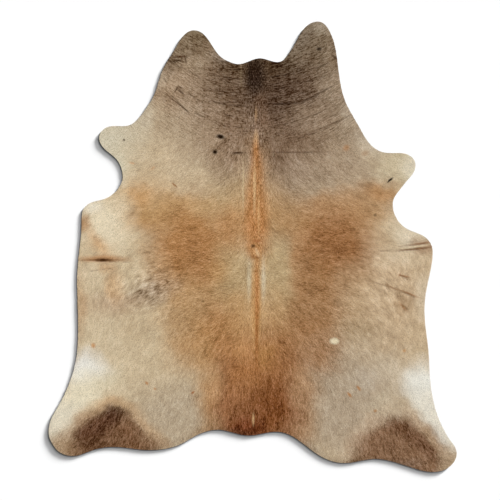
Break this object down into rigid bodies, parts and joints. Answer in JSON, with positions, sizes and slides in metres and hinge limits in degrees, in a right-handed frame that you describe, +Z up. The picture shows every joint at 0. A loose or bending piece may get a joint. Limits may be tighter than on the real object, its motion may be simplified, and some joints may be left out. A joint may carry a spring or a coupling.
{
  "type": "cowhide rug",
  "caption": "Whole cowhide tanned with its hair on and laid flat, with trimmed neck lobes, foreleg stubs, spread hind legs and a wavy rear edge.",
  "frame": {"origin": "on the floor, under the middle of the rug's box", "axes": "+Z up out of the hair side, +Y along the backbone towards the neck, +X to the right seen from above with the neck away from the viewer"},
  "size_m": [2.0384, 2.25, 0.0073],
  "materials": {
    "coat": "short, glossy cow hair lying flat on its leather, champagne and beige with grey-brown neck and brown rump"
  },
  "bodies": {
    "root": {"hide": "coat"}
  },
  "joints": []
}
